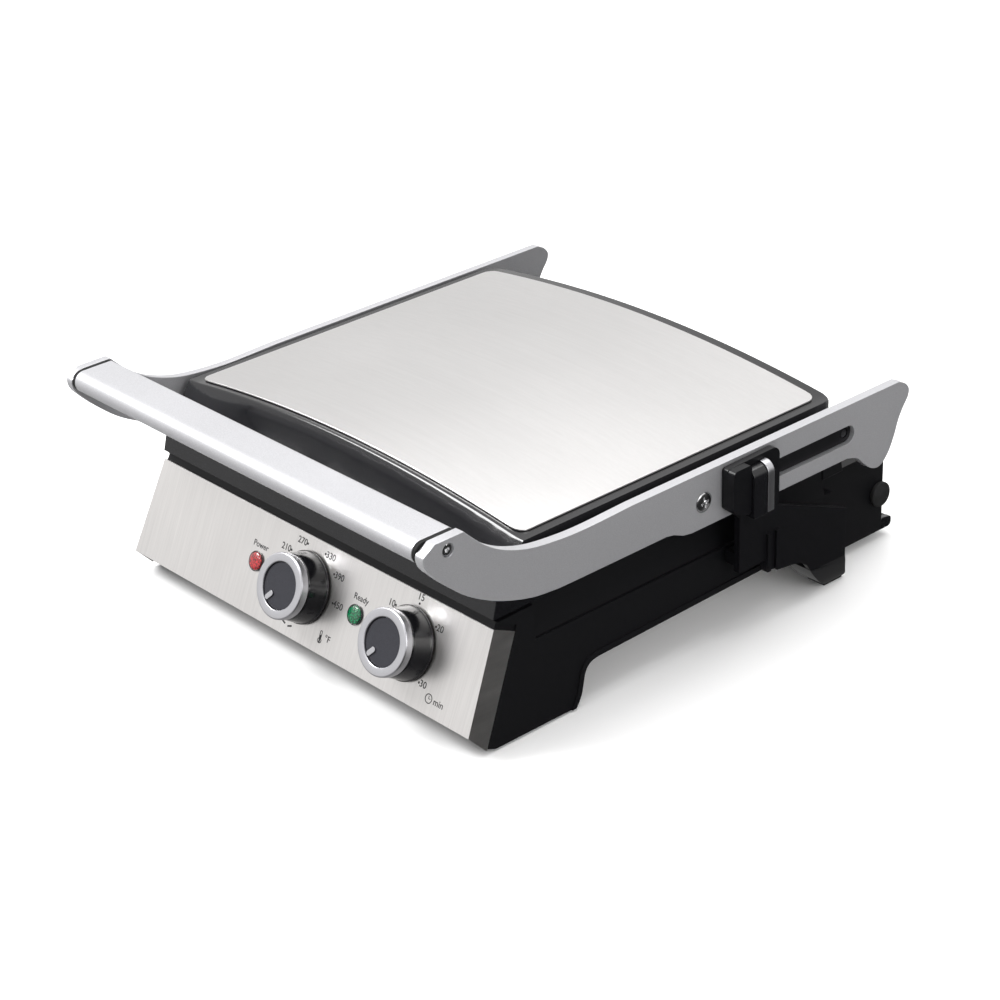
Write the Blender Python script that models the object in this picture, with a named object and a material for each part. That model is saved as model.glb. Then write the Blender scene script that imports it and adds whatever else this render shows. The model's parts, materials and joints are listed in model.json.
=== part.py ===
"""Panini press: a flat-topped contact grill with a floating lid on two slotted arms.

Metres, +Z up, the control panel faces -Y. Distances called "s" below run backwards from a
line just behind the front of the handle bar; place() turns them into Y so that the whole
press is centred on the origin.
"""
import math

import bmesh
import bpy
from mathutils import Matrix, Vector

MM = 0.001
GAP = 0.3 * MM                      # clearance between pieces that touch

# overall
HANDLE_S = -4.3 * MM                # front of the handle bar
LIP_S = 409 * MM                    # rear of the drip tray's lip
TOWER_HALF = 181.6 * MM             # half the width over the two arm guides

# lid
LID_HALF = 150 * MM                 # half the width of the steel cover
LID_DEPTH = 249 * MM
LID_S = 83 * MM                     # front edge of the steel cover
LID_Z = 124 * MM                    # edge height of the steel cover
LID_CROWN = 10.5 * MM               # rise of the cover from its sides to its middle
COVER_T = 1.2 * MM
COVER_R = 7 * MM                    # corner radius of the cover
RIM_R = 10 * MM                     # corner radius of the housing's rim at the back
SHELL_HALF = 156.4 * MM             # half the width of the lid housing
SHELL_WALL = 2.6 * MM
SHELL_Z = 81 * MM                   # lower edge of the lid housing
SHELL_FRONT_S = 58 * MM
SHELL_REAR_S = 342 * MM
SHELL_BACK_S = 322.4 * MM           # the housing's back wall, under the overhanging rim

# base
BASE_TOP_Z = 79 * MM
BASE_FOOT_HALF = 162.6 * MM         # half the width at the table
BASE_DRAFT = 0.08                   # how much narrower per unit of height
PANEL_TOP = (54.6 * MM, 74.9 * MM)  # (s, z) of the control panel's upper and lower edge
PANEL_LOW = (28.4 * MM, 16.4 * MM)
PANEL_T = 1.0 * MM
FLANGE = 17 * MM                    # side return of the control panel
SKIRT_Z = 28 * MM                   # lower edge of the side wall between the feet
SHELF_Z = 57 * MM                   # outer edge of the side shelf
DECK_HALF = 153 * MM
DECK_Z = 65 * MM
BASE_SPLIT_S = 273 * MM             # the full-width wall stops here to clear the arm tails
REAR_HALF = 150 * MM
REAR_S = 398 * MM
REAR_TOP_Z = 66 * MM
DECK_END_S = 334.9 * MM             # the deck stops here, in front of the hinge posts
PAD_T = 1.8 * MM

# cooking plates
PLATE_HALF = 137 * MM
PLATE_S = (92 * MM, 316 * MM)
PLATE_TOP_Z = 80.6 * MM
PLATE_GAP = 1.0 * MM
RIBS = 22
RIB_H = 3.0 * MM

# arms and handle
ARM_IN = 162.0 * MM
ARM_OUT = 168.6 * MM
PIN_S = 340.4 * MM                  # hinge axis
PIN_Z = 101.4 * MM
PIN_R = 3.0 * MM
SLOT_H = 12.2 * MM
SLOT_S = (272 * MM, 346.5 * MM)
ARM_TRAVEL = 6 * MM
ARM_TOP_Z = 121.8 * MM
ARM_LOW_Z = 85.0 * MM               # lower edge of the arm beside the slot
FLOAT_S = 212.3 * MM                # axis the lid floats on
FLOAT_Z = 101.9 * MM
HANDLE_W = 29.8 * MM
HANDLE_H = 13.9 * MM
HANDLE_TOP_Z = 153.1 * MM
HANDLE_HALF = 158.8 * MM
GRIP_SCREW = (13.6 * MM, 146.1 * MM)  # (s, z) of the screw through each arm into the handle
GASKET_T = 2.4 * MM

# knobs and lamps on the panel
KNOB_U = 31 * MM                    # distance down the panel from its upper edge
KNOB_X = (0.0, 95.2 * MM)
KNOB_R = 20.4 * MM                  # ring on the face of the knob
KNOB_FOOT_R = 22.6 * MM
KNOB_DISC_R = 14.4 * MM             # dark disc inside the ring
KNOB_H = 21.5 * MM
POINTER_DEG = -140                  # where both pointers stand when off, clockwise from up
LAMP_X = (-47.6 * MM, 47.6 * MM)
LAMP_R = 5.9 * MM

for old in list(bpy.data.objects):
    bpy.data.objects.remove(old, do_unlink=True)

# ------------------------------------------------------------------ materials
LOOKS = {
    "black_plastic": ((0.015, 0.015, 0.017), 0.0, 0.35),
    "gloss_plastic": ((0.02, 0.02, 0.022), 0.0, 0.12),
    "steel": ((0.62, 0.61, 0.60), 1.0, 0.32),
    "aluminium": ((0.55, 0.55, 0.56), 1.0, 0.38),
    "cast": ((0.05, 0.05, 0.052), 0.6, 0.5),
    "rubber": ((0.01, 0.01, 0.01), 0.0, 0.8),
    "charcoal": ((0.06, 0.065, 0.075), 0.3, 0.4),
    "red_lens": ((0.45, 0.01, 0.01), 0.0, 0.15),
    "green_lens": ((0.0, 0.18, 0.05), 0.0, 0.15),
}
materials = {}
for key, (colour, metal, rough) in LOOKS.items():
    mat = bpy.data.materials.new(key)
    mat.use_nodes = True
    shader = mat.node_tree.nodes["Principled BSDF"]
    shader.inputs["Base Color"].default_value = (*colour, 1.0)
    shader.inputs["Metallic"].default_value = metal
    shader.inputs["Roughness"].default_value = rough
    materials[key] = mat


# ------------------------------------------------------------------ helpers
def place(s):
    """Y of a distance s, with the press centred between handle front and tray lip."""
    return s - (HANDLE_S + LIP_S) / 2


def finish_mesh(bm, name, look):
    """Turn a bmesh into a named object whose faces point outwards."""
    bmesh.ops.remove_doubles(bm, verts=bm.verts, dist=1e-7)
    bmesh.ops.recalc_face_normals(bm, faces=bm.faces)
    mesh = bpy.data.meshes.new(name)
    bm.to_mesh(mesh)
    bm.free()
    obj = bpy.data.objects.new(name, mesh)
    mesh.materials.append(materials[look])
    bpy.context.scene.collection.objects.link(obj)
    return obj


def loft(rings, name="tool", look="steel"):
    """Solid through closed rings with the same number of points, capped at both ends."""
    bm = bmesh.new()
    rows = [[bm.verts.new(p) for p in ring] for ring in rings]
    count = len(rows[0])
    for a, b in zip(rows, rows[1:]):
        for i in range(count):
            j = (i + 1) % count
            bm.faces.new((a[i], a[j], b[j], b[i]))
    bm.faces.new(rows[0][::-1])
    bm.faces.new(rows[-1])
    return finish_mesh(bm, name, look)


def side_prism(outline, x0, x1, name="tool", look="steel"):
    """Outline of (s, z) points, extruded across the width."""
    return loft([[(x, place(s), z) for s, z in outline] for x in (x0, x1)], name, look)


def box(x, s, z, name="tool", look="steel"):
    return side_prism([(s[0], z[0]), (s[1], z[0]), (s[1], z[1]), (s[0], z[1])], *x, name, look)


def disc(centre, axis, radius, lo, hi, name="tool", look="steel", sides=32):
    """Cylinder through centre (x, s, z) along a unit axis, from lo to hi along it."""
    return turned(centre, axis, [(radius, lo), (radius, hi)], name, look, sides)


def turned(centre, axis, profile, name="tool", look="steel", sides=32):
    """Body turned about an axis; the profile is (radius, height) and is capped flat."""
    turn = Vector((0, 0, 1)).rotation_difference(Vector(axis)).to_matrix()
    mid = Vector((centre[0], place(centre[1]), centre[2]))
    rings = []
    for radius, height in profile:
        ring = []
        for i in range(sides):
            a = math.tau * (i + 0.5) / sides
            ring.append(mid + turn @ Vector((radius * math.cos(a), radius * math.sin(a), height)))
        rings.append(ring)
    return loft(rings, name, look)


def combine(target, tools, operation):
    """Exact boolean of target with each tool; the tools are used up."""
    for tool in tools:
        mod = target.modifiers.new("cut", "BOOLEAN")
        mod.operation = operation
        mod.solver = "EXACT"
        mod.object = tool
        graph = bpy.context.evaluated_depsgraph_get()
        made = bpy.data.meshes.new_from_object(target.evaluated_get(graph))
        target.modifiers.clear()
        old_mesh = target.data
        target.data = made
        made.name = target.name
        bpy.data.meshes.remove(old_mesh)
        bpy.data.objects.remove(tool, do_unlink=True)
    bm = bmesh.new()
    bm.from_mesh(target.data)
    bmesh.ops.remove_doubles(bm, verts=bm.verts, dist=2e-6)
    bmesh.ops.dissolve_degenerate(bm, dist=2e-6, edges=bm.edges)
    bm.to_mesh(target.data)
    bm.free()
    return target


def cut(target, *tools):
    return combine(target, tools, "DIFFERENCE")


def join(target, *tools):
    return combine(target, tools, "UNION")


def mirrored(obj, name):
    """Copy of an object reflected to the other side of the press."""
    bm = bmesh.new()
    bm.from_mesh(obj.data)
    bmesh.ops.transform(bm, matrix=Matrix.Scale(-1, 4, (1, 0, 0)), verts=bm.verts)
    bmesh.ops.reverse_faces(bm, faces=bm.faces)
    return finish_mesh(bm, name, obj.data.materials[0].name)


def both(obj):
    """Rename NAME to NAME_right and add NAME_left."""
    stem = obj.name
    mirrored(obj, stem + "_left")
    obj.name = stem + "_right"
    obj.data.name = obj.name
    return obj


def rounded(corners, steps=5):
    """Closed outline of (s, z, radius) corners with each corner rounded."""
    out = []
    count = len(corners)
    for i, (s, z, radius) in enumerate(corners):
        here = Vector((s, z))
        back = Vector(corners[i - 1][:2]) - here
        ahead = Vector(corners[(i + 1) % count][:2]) - here
        if radius <= 0:
            out.append((s, z))
            continue
        half = back.angle(ahead) / 2
        run = min(radius / math.tan(half), 0.49 * back.length, 0.49 * ahead.length)
        radius = run * math.tan(half)
        start, end = here + back.normalized() * run, here + ahead.normalized() * run
        middle = here + (back.normalized() + ahead.normalized()).normalized() * radius / math.sin(half)
        first, last = start - middle, end - middle
        sweep = first.angle_signed(last)
        for k in range(steps + 1):
            a = -sweep * k / steps
            spun = Vector((first.x * math.cos(a) - first.y * math.sin(a),
                           first.x * math.sin(a) + first.y * math.cos(a)))
            out.append(tuple(middle + spun))
    return out


def capsule(s0, s1, z, height, steps=8):
    """Slot outline with round ends, from s0 to s1 over all."""
    r = height / 2
    points = []
    for mid, start in ((s1 - r, -90), (s0 + r, 90)):
        for k in range(steps + 1):
            a = math.radians(start + 180 * k / steps)
            points.append((mid + r * math.cos(a), z + r * math.sin(a)))
    return points


def curve(points, steps=4):
    """Smooth line through (s, z) points, passing through every one of them."""
    knots = [Vector(p) for p in points]
    knots = [2 * knots[0] - knots[1], *knots, 2 * knots[-1] - knots[-2]]
    out = []
    for a, b, c, d in zip(knots, knots[1:], knots[2:], knots[3:]):
        for k in range(steps):
            t = k / steps
            out.append(tuple(0.5 * (2 * b + (c - a) * t + (2 * a - 5 * b + 4 * c - d) * t ** 2
                                    + (3 * b - a - 3 * c + d) * t ** 3)))
    return out + [tuple(knots[-2])]


def side_x(z):
    """Half width of the base's drafted side wall at height z."""
    return BASE_FOOT_HALF - BASE_DRAFT * z


def drafted(outline, inset, name="tool", look="steel"):
    """Outline of (s, z) points extruded out to the drafted side walls, less an inset."""
    return loft([[(side * (side_x(z) - inset), place(s), z) for s, z in outline]
                 for side in (-1, 1)], name, look)


def crown(x):
    return LID_CROWN * max(0.0, 1 - (x / LID_HALF) ** 2)


def crowned(section, half, stations, name="tool", look="steel", ends=None):
    """Section of (s, z, weight) points swept across the lid; weight says how far z follows the
    crown, and ends(x) gives how far the front and the rear draw in near the corners."""
    rings = []
    for i in range(stations + 1):
        x = half * math.sin(math.pi / 2 * (2 * i / stations - 1)) if ends else \
            half * (2 * i / stations - 1)
        front, rear = ends(x) if ends else (0.0, 0.0)
        middle = LID_S + LID_DEPTH / 2
        rings.append([(x, place(s + (front if s < middle else -rear)), z + w * crown(x))
                      for s, z, w in section])
    return loft(rings, name, look)


# panel directions: down the slope, and out of it
slope = Vector((0, PANEL_LOW[0] - PANEL_TOP[0], PANEL_LOW[1] - PANEL_TOP[1]))
PANEL_LENGTH = slope.length
slope.normalize()
outward = Vector((0, slope.z, -slope.y))


def on_panel(x, u, out=0.0):
    """Point u down the panel and out from its face, as (x, s, z)."""
    p = Vector((x, PANEL_TOP[0], PANEL_TOP[1])) + slope * u + outward * out
    return (p.x, p.y, p.z)


def panel_band(u0, u1, out0, out1):
    """Strip of the side outline along the panel, as (s, z) points."""
    return [on_panel(0, u, out)[1:] for u, out in ((u0, out0), (u1, out0), (u1, out1), (u0, out1))]


def swept_tube(points, radius, name, look, sides=8):
    """Round tube along a path in one horizontal plane."""
    rings = []
    path = [Vector(p) for p in points]
    for i, p in enumerate(path):
        along = (path[min(i + 1, len(path) - 1)] - path[max(i - 1, 0)]).normalized()
        across = along.cross(Vector((0, 0, 1)))
        rings.append([p + across * radius * math.cos(math.tau * k / sides)
                      + Vector((0, 0, 1)) * radius * math.sin(math.tau * k / sides)
                      for k in range(sides)])
    return loft(rings, name, look)


# ------------------------------------------------------------------ base housing
inner_front = on_panel(0, 0, -PANEL_T - GAP)
inner_low = on_panel(0, PANEL_LENGTH, -PANEL_T - GAP)
front_top = (inner_front[1] + (BASE_TOP_Z - inner_front[2]) * 0.45, BASE_TOP_Z - 0.6 * MM)
arch = curve([(138 * MM, SKIRT_Z + 0.1 * MM), (130 * MM, SKIRT_Z - 0.2 * MM),
              (124.4 * MM, SKIRT_Z - 1.7 * MM), (120.4 * MM, SKIRT_Z - 5.6 * MM),
              (118.0 * MM, 15.5 * MM), (115.6 * MM, 8.5 * MM), (111 * MM, PAD_T)], 3)
foot_outline = [
    front_top, (85 * MM, BASE_TOP_Z), (85 * MM, SHELF_Z), (BASE_SPLIT_S, SHELF_Z),
    (BASE_SPLIT_S, SKIRT_Z + 2.6 * MM), *arch, (48 * MM, PAD_T),
    (41.5 * MM, 4.4 * MM), (inner_low[1], inner_low[2]), (inner_front[1], inner_front[2]),
]
base = drafted(foot_outline, 0.0, "base_housing", "black_plastic")
# rounded lip that runs along the lower edge of the side walls and down the front feet
LIP_H = 3.4 * MM
LIP_OUT = 1.0 * MM
upper = [(BASE_SPLIT_S, SKIRT_Z + 2.6 * MM + LIP_H), (132 * MM, SKIRT_Z + LIP_H),
         *curve([(129 * MM, SKIRT_Z + LIP_H - 0.3 * MM), (121.8 * MM, SKIRT_Z + 1.2 * MM),
                 (117.2 * MM, SKIRT_Z - 4.0 * MM), (114.7 * MM, 16.5 * MM),
                 (112.2 * MM, 9.5 * MM), (107.4 * MM, PAD_T)], 3)]
lip_outline = [(BASE_SPLIT_S, SKIRT_Z + 2.6 * MM), *arch, *upper[::-1]]
for side in (-1, 1):
    join(base, loft([[(side * (side_x(z) + out), place(s), z) for s, z in lip_outline]
                     for out in (-1.5 * MM, LIP_OUT)]))
deck_rings = []
for s in (80 * MM, DECK_END_S):
    deck_rings.append([(x, place(s), z) for x, z in (
        (-side_x(SHELF_Z) + 2.2 * MM, SHELF_Z - 14 * MM), (side_x(SHELF_Z) - 2.2 * MM, SHELF_Z - 14 * MM),
        (side_x(SHELF_Z) - 2.2 * MM, SHELF_Z + 0.6 * MM), (DECK_HALF, DECK_Z),
        (DECK_HALF - 0.5 * MM, BASE_TOP_Z), (-DECK_HALF + 0.5 * MM, BASE_TOP_Z),
        (-DECK_HALF, DECK_Z), (-side_x(SHELF_Z) + 2.2 * MM, SHELF_Z + 0.6 * MM))])
join(base, loft(deck_rings),
     box((-155.8 * MM, 155.8 * MM), (270 * MM, 342 * MM), (SKIRT_Z + 2.6 * MM, SHELF_Z)),
     box((-REAR_HALF, REAR_HALF), (330 * MM, REAR_S), (7 * MM, REAR_TOP_Z)))
wall = 3 * MM
cavity_front = on_panel(0, 4 * MM, -PANEL_T - GAP - wall)
cavity_low = on_panel(0, PANEL_LENGTH + 30 * MM, -PANEL_T - GAP - wall)
cavity_end = DECK_END_S - wall
upper_cavity = [(cavity_front[1], BASE_TOP_Z - wall), (cavity_end, BASE_TOP_Z - wall),
                (cavity_end, 30 * MM), (on_panel(0, 48 * MM, -5 * MM)[1], 30 * MM)]
cut(base, side_prism(upper_cavity, -149.4 * MM, 149.4 * MM),
    box((-146 * MM, 146 * MM), (cavity_low[1], 335 * MM), (-5 * MM, 31 * MM)),
    box((-147 * MM, 147 * MM), (325 * MM, REAR_S + 5 * MM), (-5 * MM, 22 * MM)),
    box((-147 * MM, 147 * MM), (cavity_end - 3 * MM, REAR_S - wall), (24.5 * MM, REAR_TOP_Z - wall)),
    box((-PLATE_HALF - GAP, PLATE_HALF + GAP), (PLATE_S[0] - GAP, PLATE_S[1] + GAP),
        (60 * MM, 90 * MM)))
# side recess for the panel's returns, and holes for the two shafts and the two lamps
for side in (-1, 1):
    ring = panel_band(-4 * MM, PANEL_LENGTH + 9 * MM, 6 * MM, -FLANGE - GAP)
    cut(base, loft([[(side * (side_x(z) + out), place(s), z) for s, z in ring]
                    for out in ((-PANEL_T - GAP), 6 * MM)]))
for x in KNOB_X:
    cut(base, disc(on_panel(x, KNOB_U), outward, 5.5 * MM, -14 * MM, 6 * MM))
for x in LAMP_X:
    cut(base, disc(on_panel(x, KNOB_U), outward, 4.6 * MM, -14 * MM, 6 * MM, sides=24))
# cord entry at the back, pads under the front feet
cord_at = (95 * MM, REAR_S, 45 * MM)
cut(base, disc(cord_at, (0, 1, 0), 6.3 * MM, -8 * MM, 8 * MM, sides=24))

# ------------------------------------------------------------------ control panel
def panel_solid(inset, grow, name="tool"):
    ring = panel_band(-grow, PANEL_LENGTH + grow, -inset, -FLANGE - grow)
    low = on_panel(0, PANEL_LENGTH + 7 * MM + grow, -FLANGE - grow)[1:]
    ring[2] = low
    return drafted(ring, inset, name, "steel")


panel = panel_solid(0.0, 0.0, "front_panel")
cut(panel, panel_solid(PANEL_T, 4 * MM))
for x in KNOB_X:
    cut(panel, disc(on_panel(x, KNOB_U), outward, 5.5 * MM, -6 * MM, 6 * MM))
for x in LAMP_X:
    cut(panel, disc(on_panel(x, KNOB_U), outward, 4.6 * MM, -6 * MM, 6 * MM, sides=24))

# ------------------------------------------------------------------ controls
for stem, x, depth in (("thermostat", KNOB_X[0], 18 * MM), ("timer", KNOB_X[1], 22 * MM)):
    turned(on_panel(x, KNOB_U), outward,
           [(13 * MM, -5 * MM - depth), (13 * MM, -5 * MM)], stem + "_switch", "charcoal", 24)
    knob = turned(on_panel(x, KNOB_U), outward, [
        (3 * MM, -4.7 * MM), (3 * MM, 1.0 * MM), (KNOB_FOOT_R, 1.0 * MM),
        (KNOB_FOOT_R, 3.0 * MM), (KNOB_FOOT_R - 0.7 * MM, 4.4 * MM),
        (KNOB_R - 0.3 * MM, KNOB_H - 6.0 * MM), (16.8 * MM, KNOB_H - 6.0 * MM),
        (16.8 * MM, KNOB_H - 4.0 * MM)], stem + "_knob", "gloss_plastic", 48)
    ring = turned(on_panel(x, KNOB_U), outward, [
        (KNOB_R - 0.4 * MM, KNOB_H - 5.7 * MM), (KNOB_R, KNOB_H - 5.0 * MM),
        (KNOB_R, KNOB_H - 1.6 * MM), (KNOB_R - 1.6 * MM, KNOB_H)], stem + "_ring", "aluminium", 48)
    cut(ring, disc(on_panel(x, KNOB_U), outward, 17.1 * MM, 0.0, KNOB_H - 3.7 * MM, sides=48),
        disc(on_panel(x, KNOB_U), outward, KNOB_DISC_R + GAP, 10 * MM, 30 * MM, sides=48))
    disc(on_panel(x, KNOB_U), outward, KNOB_DISC_R, KNOB_H - 3.7 * MM, KNOB_H - 1.4 * MM,
         stem + "_disc", "charcoal", 48)
    turn = math.radians(POINTER_DEG)
    along = Vector((math.sin(turn), 0, 0)) - slope * math.cos(turn)
    across = along.cross(outward)
    mid = Vector(on_panel(x, KNOB_U, KNOB_H - 1.1 * MM))
    rim = []
    for k in range(16):
        a = math.tau * k / 16
        rim.append(mid + along * (10.6 * MM + (2.0 * MM if math.cos(a) > 0 else -2.0 * MM)
                                  + 1.7 * MM * math.cos(a)) + across * 1.7 * MM * math.sin(a))
    loft([[(p.x, place(p.y), p.z) for p in (q + outward * h for q in rim)]
          for h in (0.0, 0.7 * MM)], stem + "_pointer", "aluminium")
for stem, x, look in (("power", LAMP_X[0], "red_lens"), ("ready", LAMP_X[1], "green_lens")):
    bezel = disc(on_panel(x, KNOB_U), outward, LAMP_R + 0.5 * MM, GAP, 1.1 * MM,
                 stem + "_bezel", "gloss_plastic", 32)
    cut(bezel, disc(on_panel(x, KNOB_U), outward, LAMP_R, -2 * MM, 4 * MM, sides=32))
    turned(on_panel(x, KNOB_U), outward, [
        (4.2 * MM, -12 * MM), (4.2 * MM, GAP), (LAMP_R - GAP, GAP), (LAMP_R - GAP, 1.2 * MM),
        (LAMP_R * 0.85, 1.9 * MM), (LAMP_R * 0.5, 2.5 * MM)], stem + "_lamp", look, 32)

# ------------------------------------------------------------------ under the base
cover = box((-145.6 * MM, 145.6 * MM), (on_panel(0, 60 * MM, -7 * MM)[1] + 6 * MM, 324.6 * MM),
            (20 * MM, 21.5 * MM), "bottom_cover", "steel")
for k in range(7):
    s = (120 + 26 * k) * MM
    cut(cover, box((-60 * MM, 60 * MM), (s, s + 8 * MM), (15 * MM, 30 * MM)))
front_pad = box((147.5 * MM, 160.5 * MM), (52 * MM, 106 * MM), (0.0, PAD_T - GAP), "front_pad",
                "rubber")
both(front_pad)

# drip tray behind the base
tray = box((-146.4 * MM, 146.4 * MM), (338 * MM, REAR_S - 0.5 * MM), (8 * MM, 21 * MM),
           "drip_tray", "gloss_plastic")
cut(tray, box((-144.4 * MM, 144.4 * MM), (340 * MM, REAR_S - 2.5 * MM), (10 * MM, 30 * MM)))
lip_s = REAR_S + GAP
join(tray, box((-146.4 * MM, 146.4 * MM), (REAR_S - 2 * MM, lip_s + 1 * MM), (8 * MM, 10.6 * MM)),
     side_prism([(lip_s, 6.4 * MM), (LIP_S - 3.4 * MM, 6.4 * MM), (LIP_S - 0.4 * MM, 8.4 * MM),
                 (LIP_S - 0.4 * MM, 12.2 * MM), (LIP_S - 2.4 * MM, 12.2 * MM),
                 (LIP_S - 3 * MM, 10.2 * MM), (lip_s, 10.2 * MM)], -147 * MM, 147 * MM))
for side in (-1, 1):
    x0, x1 = sorted((side * 145.6 * MM, side * 149 * MM))
    join(tray, side_prism(rounded([(lip_s + 0.4 * MM, 6.0 * MM, 0), (LIP_S, 6.0 * MM, 3 * MM),
                                   (LIP_S, 12.8 * MM, 2 * MM), (lip_s + 0.4 * MM, 14.6 * MM, 2 * MM)], 4),
                          x0, x1))

# ------------------------------------------------------------------ cooking plates and heat
def grill_plate(name, low, flip):
    """Cast plate with ribs running front to back."""
    pitch = 2 * (PLATE_HALF - 7 * MM) / RIBS
    section = [(-PLATE_HALF, 0.0), (PLATE_HALF, 0.0), (PLATE_HALF, 9 * MM), (PLATE_HALF - 4 * MM, 9 * MM)]
    for k in range(RIBS):
        right = PLATE_HALF - 7 * MM - pitch * k
        section += [(right - 0.20 * pitch, 9 * MM - RIB_H), (right - 0.36 * pitch, 9 * MM - 0.2 * MM),
                    (right - 0.64 * pitch, 9 * MM - 0.2 * MM), (right - 0.80 * pitch, 9 * MM - RIB_H)]
    section += [(-PLATE_HALF + 4 * MM, 9 * MM)]
    sign = -1 if flip else 1
    return loft([[(x, place(s), low + sign * z) for x, z in section] for s in PLATE_S], name, "cast")


grill_plate("lower_plate", PLATE_TOP_Z - 9 * MM, False)
upper_plate_top = PLATE_TOP_Z + PLATE_GAP + 9 * MM
grill_plate("upper_plate", upper_plate_top, True)


def element(name, z):
    """Bent heater tube in two loops."""
    points = []
    for k in range(4):
        x = (-99 + 66 * k) * MM
        near, far = place(125 * MM), place(287 * MM)
        if k % 2:
            near, far = far, near
        points += [(x, near, z), (x, far, z)]
        if k < 3:
            turn_side = 1 if far > near else -1
            for j in range(1, 8):
                a = math.pi * j / 8
                points.append((x + 33 * MM * (1 - math.cos(a)),
                               far + turn_side * 20 * MM * math.sin(a), z))
    return swept_tube(points, 3.2 * MM, name, "steel")


element("lower_element", PLATE_TOP_Z - 9 * MM - 3.6 * MM)
element("upper_element", upper_plate_top + 3.6 * MM)
box((-128 * MM, 128 * MM), (100 * MM, 312 * MM), (63.6 * MM, 64.4 * MM), "lower_reflector", "steel")
box((-128 * MM, 128 * MM), (100 * MM, 312 * MM), (98.4 * MM, 99.2 * MM), "upper_reflector", "steel")

# ------------------------------------------------------------------ lid housing and cover
rim_z = LID_Z - 1.5 * MM


def corner_draw(x, half, radius):
    """How far an edge draws in at x to round a corner."""
    over = abs(x) - (half - radius)
    return 0.0 if over <= 0 else radius - math.sqrt(max(0.0, radius ** 2 - over ** 2)) * 0.999


def rim_ends(x):
    """The housing is square in front and round at the back corners of its rim."""
    return 0.0, corner_draw(x, SHELL_HALF, RIM_R)


def cover_ends(x):
    draw = corner_draw(x, LID_HALF, COVER_R)
    return draw, draw


shell_outline = [
    (SHELL_FRONT_S - 3.4 * MM, SHELL_Z, 0.0), (SHELL_FRONT_S - 0.6 * MM, 92 * MM, 0.0),
    (SHELL_FRONT_S + 0.8 * MM, 97 * MM, 0.1), (SHELL_FRONT_S + 6 * MM, 102.5 * MM, 0.3),
    (SHELL_FRONT_S + 12 * MM, 109 * MM, 0.6), (SHELL_FRONT_S + 17 * MM, 116.5 * MM, 0.9),
    (SHELL_FRONT_S + 20.2 * MM, rim_z - 1.2 * MM, 1.0), (SHELL_FRONT_S + 21.4 * MM, rim_z, 1.0),
    (SHELL_REAR_S - 1.4 * MM, rim_z, 1.0), (SHELL_REAR_S, rim_z - 1.6 * MM, 1.0),
    (SHELL_REAR_S, 115 * MM, 0.8), (SHELL_BACK_S, 110 * MM, 0.3),
    (SHELL_BACK_S, SHELL_Z, 0.0),
]
shell = crowned(shell_outline, SHELL_HALF, 36, "lid_housing", "gloss_plastic", rim_ends)
w = SHELL_WALL
hollow = [
    (SHELL_FRONT_S + w, SHELL_Z - 5 * MM, 0.0), (SHELL_FRONT_S + w, 96 * MM, 0.1),
    (SHELL_FRONT_S + 9 * MM, 102 * MM, 0.3), (SHELL_FRONT_S + 20 * MM, 113 * MM, 0.8),
    (SHELL_FRONT_S + 24 * MM, rim_z - w - 1.4 * MM, 1.0),
    (SHELL_BACK_S - w, rim_z - w - 1.4 * MM, 1.0),
    (SHELL_BACK_S - w, 107 * MM, 0.5), (SHELL_BACK_S - w, SHELL_Z - 5 * MM, 0.0),
]
cut(shell, crowned(hollow, SHELL_HALF - w, 20))
for side in (-1, 1):
    join(shell, disc((side * (SHELL_HALF - 2 * MM), FLOAT_S, FLOAT_Z), (side, 0, 0), 8 * MM,
                     -11 * MM, 1 * MM, sides=24))
    cut(shell, disc((side * SHELL_HALF, FLOAT_S, FLOAT_Z), (side, 0, 0), 3.2 * MM,
                    -16 * MM, 6 * MM, sides=24))


rear_s = LID_S + LID_DEPTH
crowned([(LID_S, LID_Z - COVER_T, 1.0), (rear_s, LID_Z - COVER_T, 1.0), (rear_s, LID_Z, 1.0),
         (LID_S, LID_Z, 1.0)], LID_HALF, 36, "top_cover", "steel", cover_ends)
bush = disc((SHELL_HALF, FLOAT_S, FLOAT_Z), (1, 0, 0), 7.4 * MM, GAP, ARM_IN - SHELL_HALF - GAP,
            "float_bush", "rubber", 24)
cut(bush, disc((SHELL_HALF, FLOAT_S, FLOAT_Z), (1, 0, 0), 3.3 * MM, -5 * MM, 8 * MM, sides=24))
both(bush)

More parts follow.
